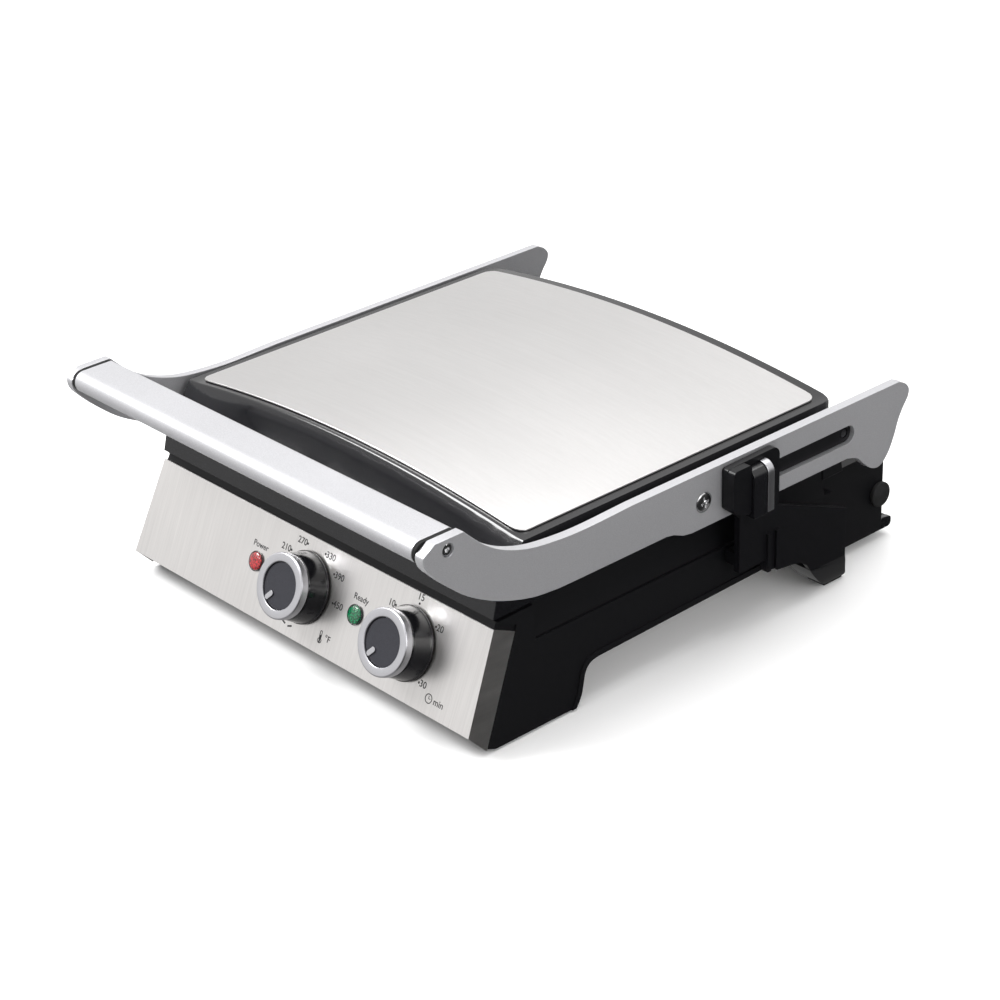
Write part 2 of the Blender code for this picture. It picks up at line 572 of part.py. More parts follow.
# ------------------------------------------------------------------ arms
arm_outline = [
    (25.2 * MM, HANDLE_TOP_Z),
    *curve([(27.2 * MM, 151.1 * MM), (36.3 * MM, 142.5 * MM), (45.6 * MM, 135.5 * MM),
            (57.2 * MM, 129.6 * MM), (72.7 * MM, 124.7 * MM), (90.8 * MM, 122.1 * MM),
            (114.8 * MM, 120.8 * MM), (153.0 * MM, ARM_TOP_Z)], 5),
    *curve([(387.7 * MM, ARM_TOP_Z), (394.3 * MM, 118.6 * MM), (397.9 * MM, 113.7 * MM),
            (396.9 * MM, 108.4 * MM), (392.6 * MM, 102.4 * MM), (388.6 * MM, 95.3 * MM),
            (384.9 * MM, 85.1 * MM), (379.3 * MM, 74.7 * MM), (372.0 * MM, 68.9 * MM),
            (364.0 * MM, 70.1 * MM), (356.6 * MM, 75.9 * MM), (349.6 * MM, 82.1 * MM),
            (340.5 * MM, ARM_LOW_Z)], 4),
    (202.1 * MM, ARM_LOW_Z), (195.1 * MM, 86.1 * MM), (187.1 * MM, 89.5 * MM),
    *curve([(181.0 * MM, 90.6 * MM), (106.8 * MM, 90.6 * MM), (88.8 * MM, 91.2 * MM),
            (70.7 * MM, 93.7 * MM), (48.1 * MM, 101.0 * MM), (27.6 * MM, 111.8 * MM),
            (12.0 * MM, 124.3 * MM), (2.7 * MM, 133.5 * MM), (-3.1 * MM, 140.4 * MM),
            (HANDLE_S, 147.0 * MM), (-0.7 * MM, 149.7 * MM), (4.5 * MM, HANDLE_TOP_Z)], 5),
]
arm = side_prism(arm_outline, ARM_IN, ARM_OUT, "arm", "aluminium")
cut(arm, side_prism(capsule(*SLOT_S, PIN_Z, SLOT_H), ARM_IN - 5 * MM, ARM_OUT + 5 * MM),
    disc((ARM_OUT, FLOAT_S, FLOAT_Z), (1, 0, 0), 3.3 * MM, -12 * MM, 4 * MM, sides=24),
    disc((ARM_OUT, FLOAT_S, FLOAT_Z), (1, 0, 0), 6.6 * MM, -3 * MM, 4 * MM, sides=32),
    disc((ARM_OUT, *GRIP_SCREW), (1, 0, 0), 2.2 * MM, -12 * MM, 4 * MM, sides=24),
    disc((ARM_OUT, *GRIP_SCREW), (1, 0, 0), 4.2 * MM, -3.5 * MM, 4 * MM, sides=24))
both(arm)
screw = turned((ARM_OUT, FLOAT_S, FLOAT_Z), (1, 0, 0), [
    (3.0 * MM, -24 * MM), (3.0 * MM, -2.7 * MM), (6.3 * MM, -2.7 * MM), (6.3 * MM, 0.3 * MM),
    (5.2 * MM, 1.1 * MM)], "pivot_screw", "steel", 32)
both(screw)
grip_screw = turned((ARM_OUT, *GRIP_SCREW), (1, 0, 0), [
    (1.9 * MM, -26 * MM), (1.9 * MM, -3.2 * MM), (3.8 * MM, -3.2 * MM), (3.8 * MM, -0.8 * MM)],
    "handle_screw", "steel", 24)
both(grip_screw)

handle_low = HANDLE_TOP_Z - HANDLE_H


def bar_section(inset):
    h = HANDLE_H / 2 - inset
    front, rear = HANDLE_S + inset, HANDLE_S + HANDLE_W - inset
    return rounded([(rear, HANDLE_TOP_Z - inset, 3 * MM), (front, HANDLE_TOP_Z - inset, h),
                    (front, handle_low + inset, h), (rear, handle_low + inset, 3 * MM)], 6)


bar = side_prism(bar_section(0.0), -HANDLE_HALF, HANDLE_HALF, "handle_bar", "aluminium")
for side in (-1, 1):
    cut(bar, disc((side * HANDLE_HALF, *GRIP_SCREW), (side, 0, 0), 2.2 * MM,
                  -20 * MM, 5 * MM, sides=24))
gasket = side_prism(bar_section(0.1 * MM), HANDLE_HALF + GAP, HANDLE_HALF + GAP + GASKET_T,
                    "handle_gasket", "rubber")
cut(gasket, disc((HANDLE_HALF, *GRIP_SCREW), (1, 0, 0), 2.2 * MM, -5 * MM, 9 * MM, sides=24))
both(gasket)

# ------------------------------------------------------------------ hinge
for side, word in ((1, "right"), (-1, "left")):
    inner, outer = sorted((side * 141 * MM, side * 153.4 * MM))
    post = side_prism(rounded([
        (PIN_S - 5 * MM, PIN_Z + 6.5 * MM, 4.9 * MM), (PIN_S - 5 * MM, REAR_TOP_Z + GAP, 0),
        (PIN_S + 14 * MM, REAR_TOP_Z + GAP, 0), (PIN_S + 6.5 * MM, PIN_Z + 6.5 * MM, 6.4 * MM)], 6),
        inner, outer, "hinge_post_" + word, "black_plastic")
    cut(post, disc((side * 147 * MM, PIN_S, PIN_Z), (1, 0, 0), PIN_R + 0.08 * MM,
                   -12 * MM, 12 * MM, sides=24))
rod_end = ARM_OUT - 3.6 * MM
disc((0, PIN_S, PIN_Z), (1, 0, 0), PIN_R, -rod_end, rod_end, "hinge_rod", "steel", 24)
shoe = side_prism(capsule(SLOT_S[0] + ARM_TRAVEL + GAP, SLOT_S[1] - GAP, PIN_Z, SLOT_H - 2 * GAP),
                  ARM_IN + 0.2 * MM, ARM_OUT - 3 * MM, "slot_shoe", "black_plastic")
cut(shoe, disc((ARM_OUT, PIN_S, PIN_Z), (1, 0, 0), PIN_R + 0.02 * MM, -12 * MM, 4 * MM, sides=24))
both(shoe)

# ------------------------------------------------------------------ arm guides on the base
guide_in = ARM_OUT + 0.6 * MM
guide_skin = guide_in + 4.4 * MM
mount = box((side_x(47 * MM) + GAP, guide_in - GAP), (241 * MM, 269 * MM), (47 * MM, 56 * MM),
            "guide_mount", "black_plastic")
both(mount)
for side, word in ((1, "right"), (-1, "left")):
    # the right guide stands as high as the arm; the left one is lower behind its arm
    plate_top, pad_top = (120.2 * MM, 119.4 * MM) if side > 0 else (115.6 * MM, 109.6 * MM)
    guide_outline = rounded([
        (227 * MM, plate_top - 0.8 * MM, 2 * MM), (227 * MM, 93 * MM, 3 * MM),
        (238 * MM, 84 * MM, 3 * MM), (238 * MM, 46 * MM, 0), (261.2 * MM, 46 * MM, 0),
        (261.2 * MM, 38.4 * MM, 0), (272.6 * MM, 36.6 * MM, 0), (272.6 * MM, plate_top, 6 * MM)], 5)
    guide = loft([[(side * x, place(s), z) for s, z in guide_outline]
                  for x in (guide_in, guide_skin)], "arm_guide_" + word, "black_plastic")
    pads = [(227 * MM, 242.4 * MM)] if side > 0 else [(227 * MM, 242.4 * MM), (245 * MM, 259.6 * MM)]
    for k, (s0, s1) in enumerate(pads):
        reach = 179 * MM if k == 0 else TOWER_HALF
        outline = rounded([(s0, 92 * MM, 3 * MM), (s1, 86 * MM, 2 * MM),
                           (s1, pad_top - 2 * MM * k, 2 * MM), (s0, pad_top - 2 * MM * k, 3 * MM)], 4)
        join(guide, loft([[(side * x, place(s), z) for s, z in outline]
                          for x in (guide_in + 2 * MM, reach)]))
    for s0 in (261.6 * MM, 269.2 * MM):
        join(guide, box(sorted((side * (guide_in + 2 * MM), side * (guide_in + 6.2 * MM))),
                        (s0, s0 + 3.0 * MM), (38 * MM, 64 * MM)))


def lock_section(top, low, reach, inner):
    """Outline of (x, z) points with a rounded upper outer corner."""
    r = min(8 * MM, reach - inner - 0.4 * MM)
    points = [(inner, low), (reach, low)]
    for k in range(9):
        a = math.radians(90 * k / 8)
        points.append((reach - r + r * math.cos(a), top - r + r * math.sin(a)))
    return points + [(inner, top)]


lock_in = guide_skin + GAP
loft([[(x, place(s), z) for x, z in lock_section(115.6 * MM, 83.6 * MM, TOWER_HALF - 0.4 * MM, lock_in)]
      for s in (242.8 * MM, 254.0 * MM)], "lock_slider", "gloss_plastic")
loft([[(x, place(s), z) for x, z in lock_section(116.6 * MM, 84.4 * MM, TOWER_HALF, lock_in)]
      for s in (254.3 * MM, 259.6 * MM)], "lock_trim", "aluminium")

# ------------------------------------------------------------------ rear legs
wing_outline = [
    (273.0 * MM, 79.4 * MM), (273.0 * MM, 34.4 * MM), (288 * MM, 32.4 * MM), (294.6 * MM, 31.0 * MM),
    (300.4 * MM, 27.0 * MM), (304.6 * MM, 21 * MM), (336.4 * MM, 20.4 * MM), (336.4 * MM, 53.8 * MM)]
leg = side_prism(wing_outline, guide_in, guide_in + 3.4 * MM, "rear_leg", "black_plastic")
foot_rings = []
for z, outer, front, rear in (
        (22 * MM, guide_in + 3.4 * MM, 303.6 * MM, 336.4 * MM), (16 * MM, 171.4 * MM, 308.4 * MM, 338.4 * MM),
        (8 * MM, 169.2 * MM, 316 * MM, 341 * MM), (3.6 * MM, 167.8 * MM, 321.4 * MM, 342.8 * MM),
        (PAD_T, 166.6 * MM, 324.4 * MM, 342.8 * MM)):
    foot_rings.append([(x, place(s), z) for x, s in (
        (REAR_HALF + GAP, front), (outer, front), (outer, rear), (REAR_HALF + GAP, rear))])
join(leg, loft(foot_rings))
both(leg)
both(box((152 * MM, 166 * MM), (325 * MM, 341.6 * MM), (0.0, PAD_T - GAP), "rear_pad", "rubber"))
both(disc((REAR_HALF, 393.4 * MM, 35 * MM), (1, 0, 0), 8.6 * MM, GAP, 3.4 * MM, "rear_bumper",
          "rubber", 32))
gland = turned(cord_at, (0, 1, 0), [
    (6.0 * MM, -6 * MM), (6.0 * MM, GAP), (8.0 * MM, GAP), (8.0 * MM, 2.4 * MM), (5.0 * MM, 2.8 * MM),
    (4.4 * MM, 8 * MM)], "cord_inlet", "rubber", 24)
cut(gland, disc(cord_at, (0, 1, 0), 3.1 * MM, -20 * MM, 20 * MM, sides=24))
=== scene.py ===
"""Looks of the panini press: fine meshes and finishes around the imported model, as an add-on."""

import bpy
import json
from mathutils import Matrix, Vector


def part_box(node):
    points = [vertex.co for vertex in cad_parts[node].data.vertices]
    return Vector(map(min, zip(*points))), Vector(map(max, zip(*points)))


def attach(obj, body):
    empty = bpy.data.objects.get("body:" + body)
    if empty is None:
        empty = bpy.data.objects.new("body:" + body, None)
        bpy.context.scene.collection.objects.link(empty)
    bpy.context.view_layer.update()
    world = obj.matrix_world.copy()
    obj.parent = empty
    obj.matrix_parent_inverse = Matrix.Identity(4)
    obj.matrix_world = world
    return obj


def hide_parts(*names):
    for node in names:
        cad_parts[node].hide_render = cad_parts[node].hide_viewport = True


bl_info = {
    "name": "Panini Press",
    "version": (1, 0, 0),
    "blender": (4, 5, 0),
    "location": "View3D > Sidebar > Press",
    "description": "Builds the casings, arms, dials and finishes of a panini press",
    "category": "Object",
}

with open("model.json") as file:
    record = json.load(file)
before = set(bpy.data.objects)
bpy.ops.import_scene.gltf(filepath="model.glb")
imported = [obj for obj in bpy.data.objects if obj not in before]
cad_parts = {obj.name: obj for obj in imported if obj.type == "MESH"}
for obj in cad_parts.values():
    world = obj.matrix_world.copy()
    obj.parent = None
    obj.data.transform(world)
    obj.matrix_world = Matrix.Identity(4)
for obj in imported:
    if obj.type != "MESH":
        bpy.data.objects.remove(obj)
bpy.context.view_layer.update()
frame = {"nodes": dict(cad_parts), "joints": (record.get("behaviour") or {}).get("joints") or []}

import json
import math

import bmesh
import bpy
from bpy.props import FloatProperty, FloatVectorProperty, IntProperty
from mathutils import Matrix, Vector

MM = 0.001
SIDES = ((1, "right"), (-1, "left"))


# ---------------------------------------------------------------- sizes and colours
class PressSizes(bpy.types.PropertyGroup):
    """Sizes of the fine work that the frame leaves open."""

    casing_edge: FloatProperty(
        name="Casing edge", description="Rounding along the edges of the moulded casings",
        default=0.7 * MM, min=0.1 * MM, max=2 * MM, unit="LENGTH")
    arm_edge: FloatProperty(
        name="Arm edge", description="Width of the bevel round the outer face of each arm",
        default=1.9 * MM, min=0.2 * MM, max=3 * MM, unit="LENGTH")
    sheet_edge: FloatProperty(
        name="Sheet edge", description="Rounding along the edges of the sheet metal",
        default=0.35 * MM, min=0.1 * MM, max=0.5 * MM, unit="LENGTH")
    print_height: FloatProperty(
        name="Print height", description="Height of the numbers printed round the dials",
        default=4.1 * MM, min=2 * MM, max=6 * MM, unit="LENGTH")
    scale_radius: FloatProperty(
        name="Scale radius", description="Distance of the scale's dots from the middle of a dial",
        default=24.6 * MM, min=22 * MM, max=30 * MM, unit="LENGTH")
    dial_steps: IntProperty(
        name="Dial steps", description="Segments round each dial", default=96, min=24, max=160)


class PressColours(bpy.types.PropertyGroup):
    """Main colours of the press and its stage."""

    steel: FloatVectorProperty(
        name="Steel", description="Colour of the brushed steel", subtype="COLOR", size=3,
        default=(0.80, 0.79, 0.785), min=0, max=1)
    silver: FloatVectorProperty(
        name="Silver", description="Colour of the satin arms and handle", subtype="COLOR", size=3,
        default=(0.56, 0.56, 0.58), min=0, max=1)
    black: FloatVectorProperty(
        name="Black", description="Colour of the moulded casings", subtype="COLOR", size=3,
        default=(0.0045, 0.0045, 0.0055), min=0, max=1)
    red: FloatVectorProperty(
        name="Power lamp", description="Colour of the power lamp", subtype="COLOR", size=3,
        default=(0.52, 0.015, 0.02), min=0, max=1)
    green: FloatVectorProperty(
        name="Ready lamp", description="Colour of the ready lamp", subtype="COLOR", size=3,
        default=(0.0, 0.20, 0.075), min=0, max=1)
    floor: FloatVectorProperty(
        name="Floor", description="Colour of the floor", subtype="COLOR", size=3,
        default=(0.92, 0.92, 0.92), min=0, max=1)


def sizes():
    return bpy.context.scene.press_sizes


def colours():
    return bpy.context.scene.press_colours


# ---------------------------------------------------------------- shader maths
class Signal:
    """One output of a shader node; sums and products of signals add Math nodes."""

    def __init__(self, finish, socket):
        self.finish = finish
        self.socket = socket

    def maths(self, operation, *values):
        return self.finish.node("ShaderNodeMath", {"operation": operation}, values)

    def __add__(self, other):
        return self.maths("ADD", self, other)

    def __radd__(self, other):
        return self.maths("ADD", other, self)

    def __sub__(self, other):
        return self.maths("SUBTRACT", self, other)

    def __rsub__(self, other):
        return self.maths("SUBTRACT", other, self)

    def __mul__(self, other):
        return self.maths("MULTIPLY", self, other)

    def __rmul__(self, other):
        return self.maths("MULTIPLY", other, self)

    def ramp(self, low, high):
        """0 below low, 1 above high, smooth between."""
        return self.finish.node(
            "ShaderNodeMapRange", {"interpolation_type": "SMOOTHSTEP"},
            {"Value": self, "From Min": low, "From Max": high})


class Finish:
    """A material made of one Principled shader and the nodes that feed it."""

    def __init__(self, name, **shader_values):
        self.material = bpy.data.materials.new(name)
        self.material.use_nodes = True
        self.tree = self.material.node_tree
        self.shader = self.tree.nodes["Principled BSDF"]
        self.place = self.node("ShaderNodeTexCoord", output="Object")
        self.set(**shader_values)

    def feed(self, socket, value):
        if isinstance(value, Signal):
            self.tree.links.new(value.socket, socket)
        elif isinstance(value, tuple) and len(value) == 3 and socket.type == "RGBA":
            socket.default_value = (*value, 1.0)
        else:
            socket.default_value = value

    def node(self, kind, settings=None, inputs=(), output=0):
        """Add a node: its settings first, then its inputs by number or name."""
        made = self.tree.nodes.new(kind)
        for key, value in (settings or {}).items():
            setattr(made, key, value)
        pairs = inputs.items() if isinstance(inputs, dict) else enumerate(inputs)
        for key, value in pairs:
            self.feed(made.inputs[key], value)
        return Signal(self, made.outputs[output])

    def set(self, **values):
        """Set the shader's inputs; base_color stands for Base Color, and so on."""
        for key, value in values.items():
            words = key.split("_")
            name = " ".join(w.upper() if w == "ior" else w.capitalize() for w in words)
            self.feed(self.shader.inputs[name], value)

    def mix(self, share, first, second):
        """Colour between first and second."""
        made = self.tree.nodes.new("ShaderNodeMix")
        made.data_type = "RGBA"
        for slot, value in ((0, share), (6, first), (7, second)):
            self.feed(made.inputs[slot], value)
        return Signal(self, made.outputs[2])

    def stretched(self, stretch):
        return self.node("ShaderNodeMapping", None, {"Vector": self.place, "Scale": stretch})

    def noise(self, scale, detail=2.0, roughness=0.5, stretch=(1, 1, 1)):
        """Noise with about scale lumps to the metre, squeezed along each axis."""
        return self.node("ShaderNodeTexNoise", None, {
            "Vector": self.stretched(stretch), "Scale": scale, "Detail": detail,
            "Roughness": roughness})

    def cells(self, scale):
        """Cells with about scale of them to the metre."""
        return self.node("ShaderNodeTexVoronoi", None,
                         {"Vector": self.stretched((1, 1, 1)), "Scale": scale})

    def bump(self, height, distance, strength=1.0):
        self.set(normal=self.node("ShaderNodeBump", None, {
            "Height": height, "Distance": distance, "Strength": strength}))


def tint(colour, factor):
    return tuple(min(1.0, c * factor) for c in colour)


def brushed_steel(name, stretch, warm=1.0, dull=0.30, shade=1.0, depth=1.0):
    """Stainless sheet with hairlines; stretch is small along the brushing."""
    base = tuple(colours().steel)
    # shade scales this steel's colour: below 1 it is painted shade, above 1 painted light
    base = (base[0] * shade, base[1] * shade * warm, base[2] * shade * warm ** 2)
    f = Finish(name, metallic=1.0)
    hair = f.noise(2600, 3.0, 0.65, stretch)
    streak = f.noise(420, 2.0, 0.6, stretch)
    cloud = f.noise(9, 2.0, 0.5)
    blend = (hair * 0.45 + streak * 0.35 + cloud * 0.2).ramp(0.3, 0.7)
    f.set(base_color=f.mix(blend, tint(base, 1 - 0.12 * depth), tint(base, 1 + 0.08 * depth)),
          roughness=dull + (hair - 0.5) * 0.2 * depth + (cloud - 0.5) * 0.05)
    f.bump(hair * 0.7 + streak * 0.3, 0.03 * MM, 0.32 * depth)
    return f


def satin_silver(name):
    """Silver satin coat on the arms and handle: fine flake, faint flow lines."""
    base = tuple(colours().silver)
    f = Finish(name, metallic=0.72)
    flake = f.cells(2600)
    grain = f.noise(1500, 2.0, 0.6)
    cloud = f.noise(14, 2.0, 0.5)
    f.set(base_color=f.mix((flake * 0.5 + grain * 0.5).ramp(0.25, 0.75), tint(base, 0.90), tint(base, 1.10)),
          roughness=0.36 + (grain - 0.5) * 0.14 + (cloud - 0.5) * 0.08)
    f.bump(grain * 0.6 + flake * 0.4, 0.02 * MM, 0.4)
    return f


def moulded_black(name, gloss=0.42, texture=1.0, lift=1.0):
    """Black moulded plastic with a fine spark-eroded texture and faint scuffs."""
    base = tint(tuple(colours().black), lift)
    f = Finish(name, specular_ior_level=0.22)
    grain = f.noise(1900, 2.0, 0.55)
    pits = f.cells(1300)
    scuff = f.noise(24, 4.0, 0.65, (1, 0.3, 1)).ramp(0.62, 0.78)
    f.set(base_color=f.mix(scuff * 0.35, base, tint(base, 2.4)),
          roughness=gloss + (grain - 0.5) * 0.14 + scuff * 0.08)
    f.bump(grain * 0.6 + pits * 0.4, 0.04 * MM * texture, 0.5)
    return f


def gloss_black(name):
    """Polished black plastic with a trace of orange peel and dust."""
    base = tuple(colours().black)
    f = Finish(name, coat_roughness=0.06)
    peel = f.noise(130, 2.0, 0.5)
    dust = f.noise(3000, 1.0, 0.5).ramp(0.74, 0.82)
    f.set(base_color=f.mix(dust * 0.4, tint(base, 1.2), tint(base, 4.0)),
          roughness=0.16 + dust * 0.2 + (peel - 0.5) * 0.05, coat_weight=0.3 - dust * 0.2)
    f.bump(peel, 0.05 * MM, 0.12)
    return f


def soft_rubber(name):
    f = Finish(name, specular_ior_level=0.25)
    grain = f.noise(1100, 3.0, 0.6)
    bloom = f.noise(40, 3.0, 0.6).ramp(0.5, 0.8)
    f.set(base_color=f.mix(bloom, (0.008, 0.008, 0.008), (0.016, 0.016, 0.017)),
          roughness=0.72 + (grain - 0.5) * 0.2)
    f.bump(grain, 0.06 * MM, 0.6)
    return f


def charcoal_face(name):
    """Dial face: dark grey lacquer with a fine flake."""
    f = Finish(name, metallic=0.25)
    flake = f.cells(2400)
    grain = f.noise(1800, 2.0, 0.5)
    f.set(base_color=f.mix(flake.ramp(0.2, 0.7), (0.030, 0.031, 0.040), (0.020, 0.020, 0.027)),
          roughness=0.46 + (grain - 0.5) * 0.15)
    f.bump(grain, 0.02 * MM, 0.3)
    return f


def coated_casting(name):
    """Non-stick coat on the cast plates: dark, lightly speckled, worn on the ribs."""
    f = Finish(name, metallic=0.15)
    speck = f.cells(1500).ramp(0.12, 0.2)
    grain = f.noise(700, 4.0, 0.6)
    wear = f.noise(30, 3.0, 0.6, (1, 0.2, 1)).ramp(0.55, 0.75)
    coat = f.mix(wear, (0.016, 0.016, 0.017), (0.026, 0.026, 0.026))
    f.set(base_color=f.mix(speck, (0.07, 0.07, 0.072), coat),
          roughness=0.5 + (grain - 0.5) * 0.25 - wear * 0.1)
    f.bump(grain, 0.08 * MM, 0.5)
    return f


def bright_metal(name, colour=(0.82, 0.82, 0.83), dull=0.2):
    """Machined bright metal: screws, trims and the dials' rings."""
    f = Finish(name, metallic=1.0)
    lathe = f.noise(3200, 2.0, 0.6)
    cloud = f.noise(120, 2.0, 0.5)
    f.set(base_color=f.mix(lathe.ramp(0.3, 0.7), tint(colour, 0.9), colour),
          roughness=dull + (lathe - 0.5) * 0.12 + (cloud - 0.5) * 0.05)
    f.bump(lathe, 0.015 * MM, 0.3)
    return f


def jewel(name, colour):
    """Moulded lamp lens: facets inside, polished outside."""
    f = Finish(name, coat_weight=1.0, coat_roughness=0.03, specular_ior_level=0.6)
    facet = f.cells(900)
    deep = f.noise(300, 2.0, 0.5)
    shade = (facet * 0.7 + deep * 0.3).ramp(0.2, 0.75)
    f.set(base_color=f.mix(shade, tint(colour, 1.0), tint(colour, 0.2)),
          roughness=0.12 + deep * 0.1,
          emission_color=f.mix(shade, tint(colour, 1.0), tint(colour, 0.1)), emission_strength=0.05)
    f.bump(facet, 0.3 * MM, 0.7)
    return f


def print_ink(name):
    f = Finish(name, specular_ior_level=0.3)
    patch = f.noise(900, 3.0, 0.6)
    f.set(base_color=f.mix(patch, (0.018, 0.018, 0.020), (0.045, 0.044, 0.046)),
          roughness=0.55 + (patch - 0.5) * 0.2)
    return f


def heater_tube(name):
    f = Finish(name, metallic=0.9)
    scale = f.noise(160, 4.0, 0.65)
    f.set(base_color=f.mix(scale.ramp(0.35, 0.7), (0.12, 0.10, 0.09), (0.34, 0.30, 0.27)),
          roughness=0.45 + (scale - 0.5) * 0.3)
    f.bump(scale, 0.05 * MM, 0.5)
    return f


finishes = {}


def make_finishes():
    """Every finish of the press, made once."""
    finishes.update({
        # one steel in two copies: the cover's colour is darkened (0.80) as painted shade on the top, the
        # panel's lightened (1.05) as painted light on the front
        "cover": brushed_steel("cover_steel", (0.02, 1, 1), 1.0, 0.38, 0.80, 0.35),
        "panel": brushed_steel("panel_steel", (1, 0.015, 0.015), 0.99, 0.34, 1.05, 0.6),
        "plain_steel": brushed_steel("plain_steel", (1, 0.03, 1), 1.0, 0.34),
        "dark_steel": bright_metal("dark_steel", (0.16, 0.16, 0.17), 0.34),
        "silver": satin_silver("satin_silver"),
        "black": moulded_black("moulded_black"),
        "fine_black": moulded_black("fine_black", 0.30, 0.6),
        "gloss": gloss_black("gloss_black"),
        "rubber": soft_rubber("soft_rubber"),
        "charcoal": charcoal_face("charcoal_face"),
        "cast": coated_casting("coated_casting"),
        "bright": bright_metal("bright_metal"),
        "ring": bright_metal("ring_metal", (0.66, 0.66, 0.69), 0.34),
        "red": jewel("red_jewel", tuple(colours().red)),
        "green": jewel("green_jewel", tuple(colours().green)),
        "ink": print_ink("print_ink"),
        "tube": heater_tube("heater_tube"),
    })


# ---------------------------------------------------------------- mesh helpers
def low(node):
    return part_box(node)[0]


def high(node):
    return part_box(node)[1]


def middle(node):
    lowest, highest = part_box(node)
    return (lowest + highest) / 2


def piece(bm, name, body, finish, stands_for=(), smooth=35):
    """Turn a bmesh into a named piece that rides on a body."""
    bmesh.ops.recalc_face_normals(bm, faces=bm.faces)
    mesh = bpy.data.meshes.new(name)
    bm.to_mesh(mesh)
    bm.free()
    mesh.shade_smooth()
    mesh.set_sharp_from_angle(angle=math.radians(smooth))
    mesh.materials.append(finishes[finish].material)
    obj = bpy.data.objects.new(name, mesh)
    bpy.context.scene.collection.objects.link(obj)
    even_normals(obj)
    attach(obj, body)
    if stands_for:
        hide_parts(*stands_for)
    return obj


def even_normals(obj):
    """Let the large flat faces steer the shading, so bevels stay narrow."""
    mod = obj.modifiers.new("even", "WEIGHTED_NORMAL")
    mod.keep_sharp = True
    mod.weight = 80


def copied(node):
    """A welded bmesh of a CAD node with its flat faces whole again."""
    bm = bmesh.new()
    bm.from_mesh(frame["nodes"][node].data)
    bmesh.ops.remove_doubles(bm, verts=bm.verts, dist=0.002 * MM)
    bmesh.ops.dissolve_limit(bm, angle_limit=math.radians(0.4), verts=bm.verts, edges=bm.edges)
    return bm


def sharp_edges(bm, degrees=30):
    return [e for e in bm.edges
            if len(e.link_faces) == 2 and e.calc_face_angle(0.0) > math.radians(degrees)]


def rounded_edges(bm, edges, width, segments=2):
    if edges:
        bmesh.ops.bevel(bm, geom=edges, offset=width, offset_type="OFFSET", segments=segments,
                        profile=0.5, affect="EDGES", clamp_overlap=True)


def softened(node, name, body, finish, width, segments=2, degrees=30, smooth=35):
    """A CAD node's shape with its edges rounded, standing in for the node."""
    bm = copied(node)
    rounded_edges(bm, sharp_edges(bm, degrees), width, segments)
    return piece(bm, name, body, finish, (node,), smooth)


def rings_solid(rings):
    """Closed bmesh through rings of points, capped at both ends."""
    bm = bmesh.new()
    rows = [[bm.verts.new(p) for p in ring] for ring in rings]
    for first, second in zip(rows, rows[1:]):
        for i in range(len(first)):
            j = (i + 1) % len(first)
            bm.faces.new((first[i], first[j], second[j], second[i]))
    bm.faces.new(rows[0][::-1])
    bm.faces.new(rows[-1])
    return bm


def turned(centre, axis, profile, steps=64):
    """Closed bmesh of (radius, height) points turned about an axis."""
    turn = Vector((0, 0, 1)).rotation_difference(Vector(axis)).to_matrix()
    rings = []
    for radius, height in profile:
        radius = max(radius, 0.004 * MM)
        rings.append([Vector(centre) + turn @ Vector((radius * math.cos(a), radius * math.sin(a), height))
                      for a in (math.tau * i / steps for i in range(steps))])
    return rings_solid(rings)


def hoop(name, centre, profile, steps, body, node):
    """Ring turned from a closed section."""
    turn = Vector((0, 0, 1)).rotation_difference(OUT).to_matrix()
    bm = bmesh.new()
    rows = []
    for i in range(steps):
        a = math.tau * i / steps
        rows.append([bm.verts.new(centre + turn @ Vector((r * math.cos(a), r * math.sin(a), h)))
                     for r, h in profile])
    for i in range(steps):
        first, second = rows[i], rows[(i + 1) % steps]
        for k in range(len(profile)):
            m = (k + 1) % len(profile)
            bm.faces.new((first[k], first[m], second[m], second[k]))
    piece(bm, name, body, "ring", (node,), 32)


def arc(centre, radius, start, end, steps):
    """Points of an arc, in degrees."""
    return [(centre[0] + radius * math.cos(math.radians(start + (end - start) * k / steps)),
             centre[1] + radius * math.sin(math.radians(start + (end - start) * k / steps)))
            for k in range(steps + 1)]


def carve(obj, *tools):
    """Cut closed bmeshes out of a piece."""
    for tool in tools:
        bmesh.ops.recalc_face_normals(tool, faces=tool.faces)
        mesh = bpy.data.meshes.new("tool")
        tool.to_mesh(mesh)
        tool.free()
        cutter = bpy.data.objects.new("tool", mesh)
        bpy.context.scene.collection.objects.link(cutter)
        mod = obj.modifiers.new("cut", "BOOLEAN")
        mod.operation = "DIFFERENCE"
        mod.solver = "EXACT"
        mod.object = cutter
        graph = bpy.context.evaluated_depsgraph_get()
        made = bpy.data.meshes.new_from_object(obj.evaluated_get(graph))
        obj.modifiers.clear()
        obj.data = made
        bpy.data.objects.remove(cutter, do_unlink=True)
    obj.data.shade_smooth()
    obj.data.set_sharp_from_angle(angle=math.radians(30))
    even_normals(obj)
    return obj


def block(centre, size, axes=None):
    """Box bmesh about a centre; axes are its three directions."""
    bm = bmesh.new()
    bmesh.ops.create_cube(bm, size=1.0)
    turn = axes.to_4x4() if axes else Matrix.Identity(4)
    bmesh.ops.transform(bm, verts=bm.verts,
                        matrix=Matrix.Translation(centre) @ turn @ Matrix.Diagonal((*size, 1.0)))
    return bm


# ---------------------------------------------------------------- the control panel's plane
joints = {j["name"]: j for j in frame["joints"]}
DIALS = {"thermostat": joints["thermostat_turn"], "timer": joints["timer_turn"]}
OUT = -Vector(joints["thermostat_turn"]["axis"]).normalized()
UP = Vector((0, OUT.z, -OUT.y))
ACROSS = Vector((1, 0, 0))
PANEL_AXES = Matrix((ACROSS, UP, OUT)).transposed()


def on_panel(x, up=0.0, out=0.0):
    """Point on the panel: x across, up from the dials' axis, out from its face."""
    origin = Vector(DIALS["thermostat"]["pos_m"])
    return Vector((x, origin.y, origin.z)) + UP * up + OUT * out


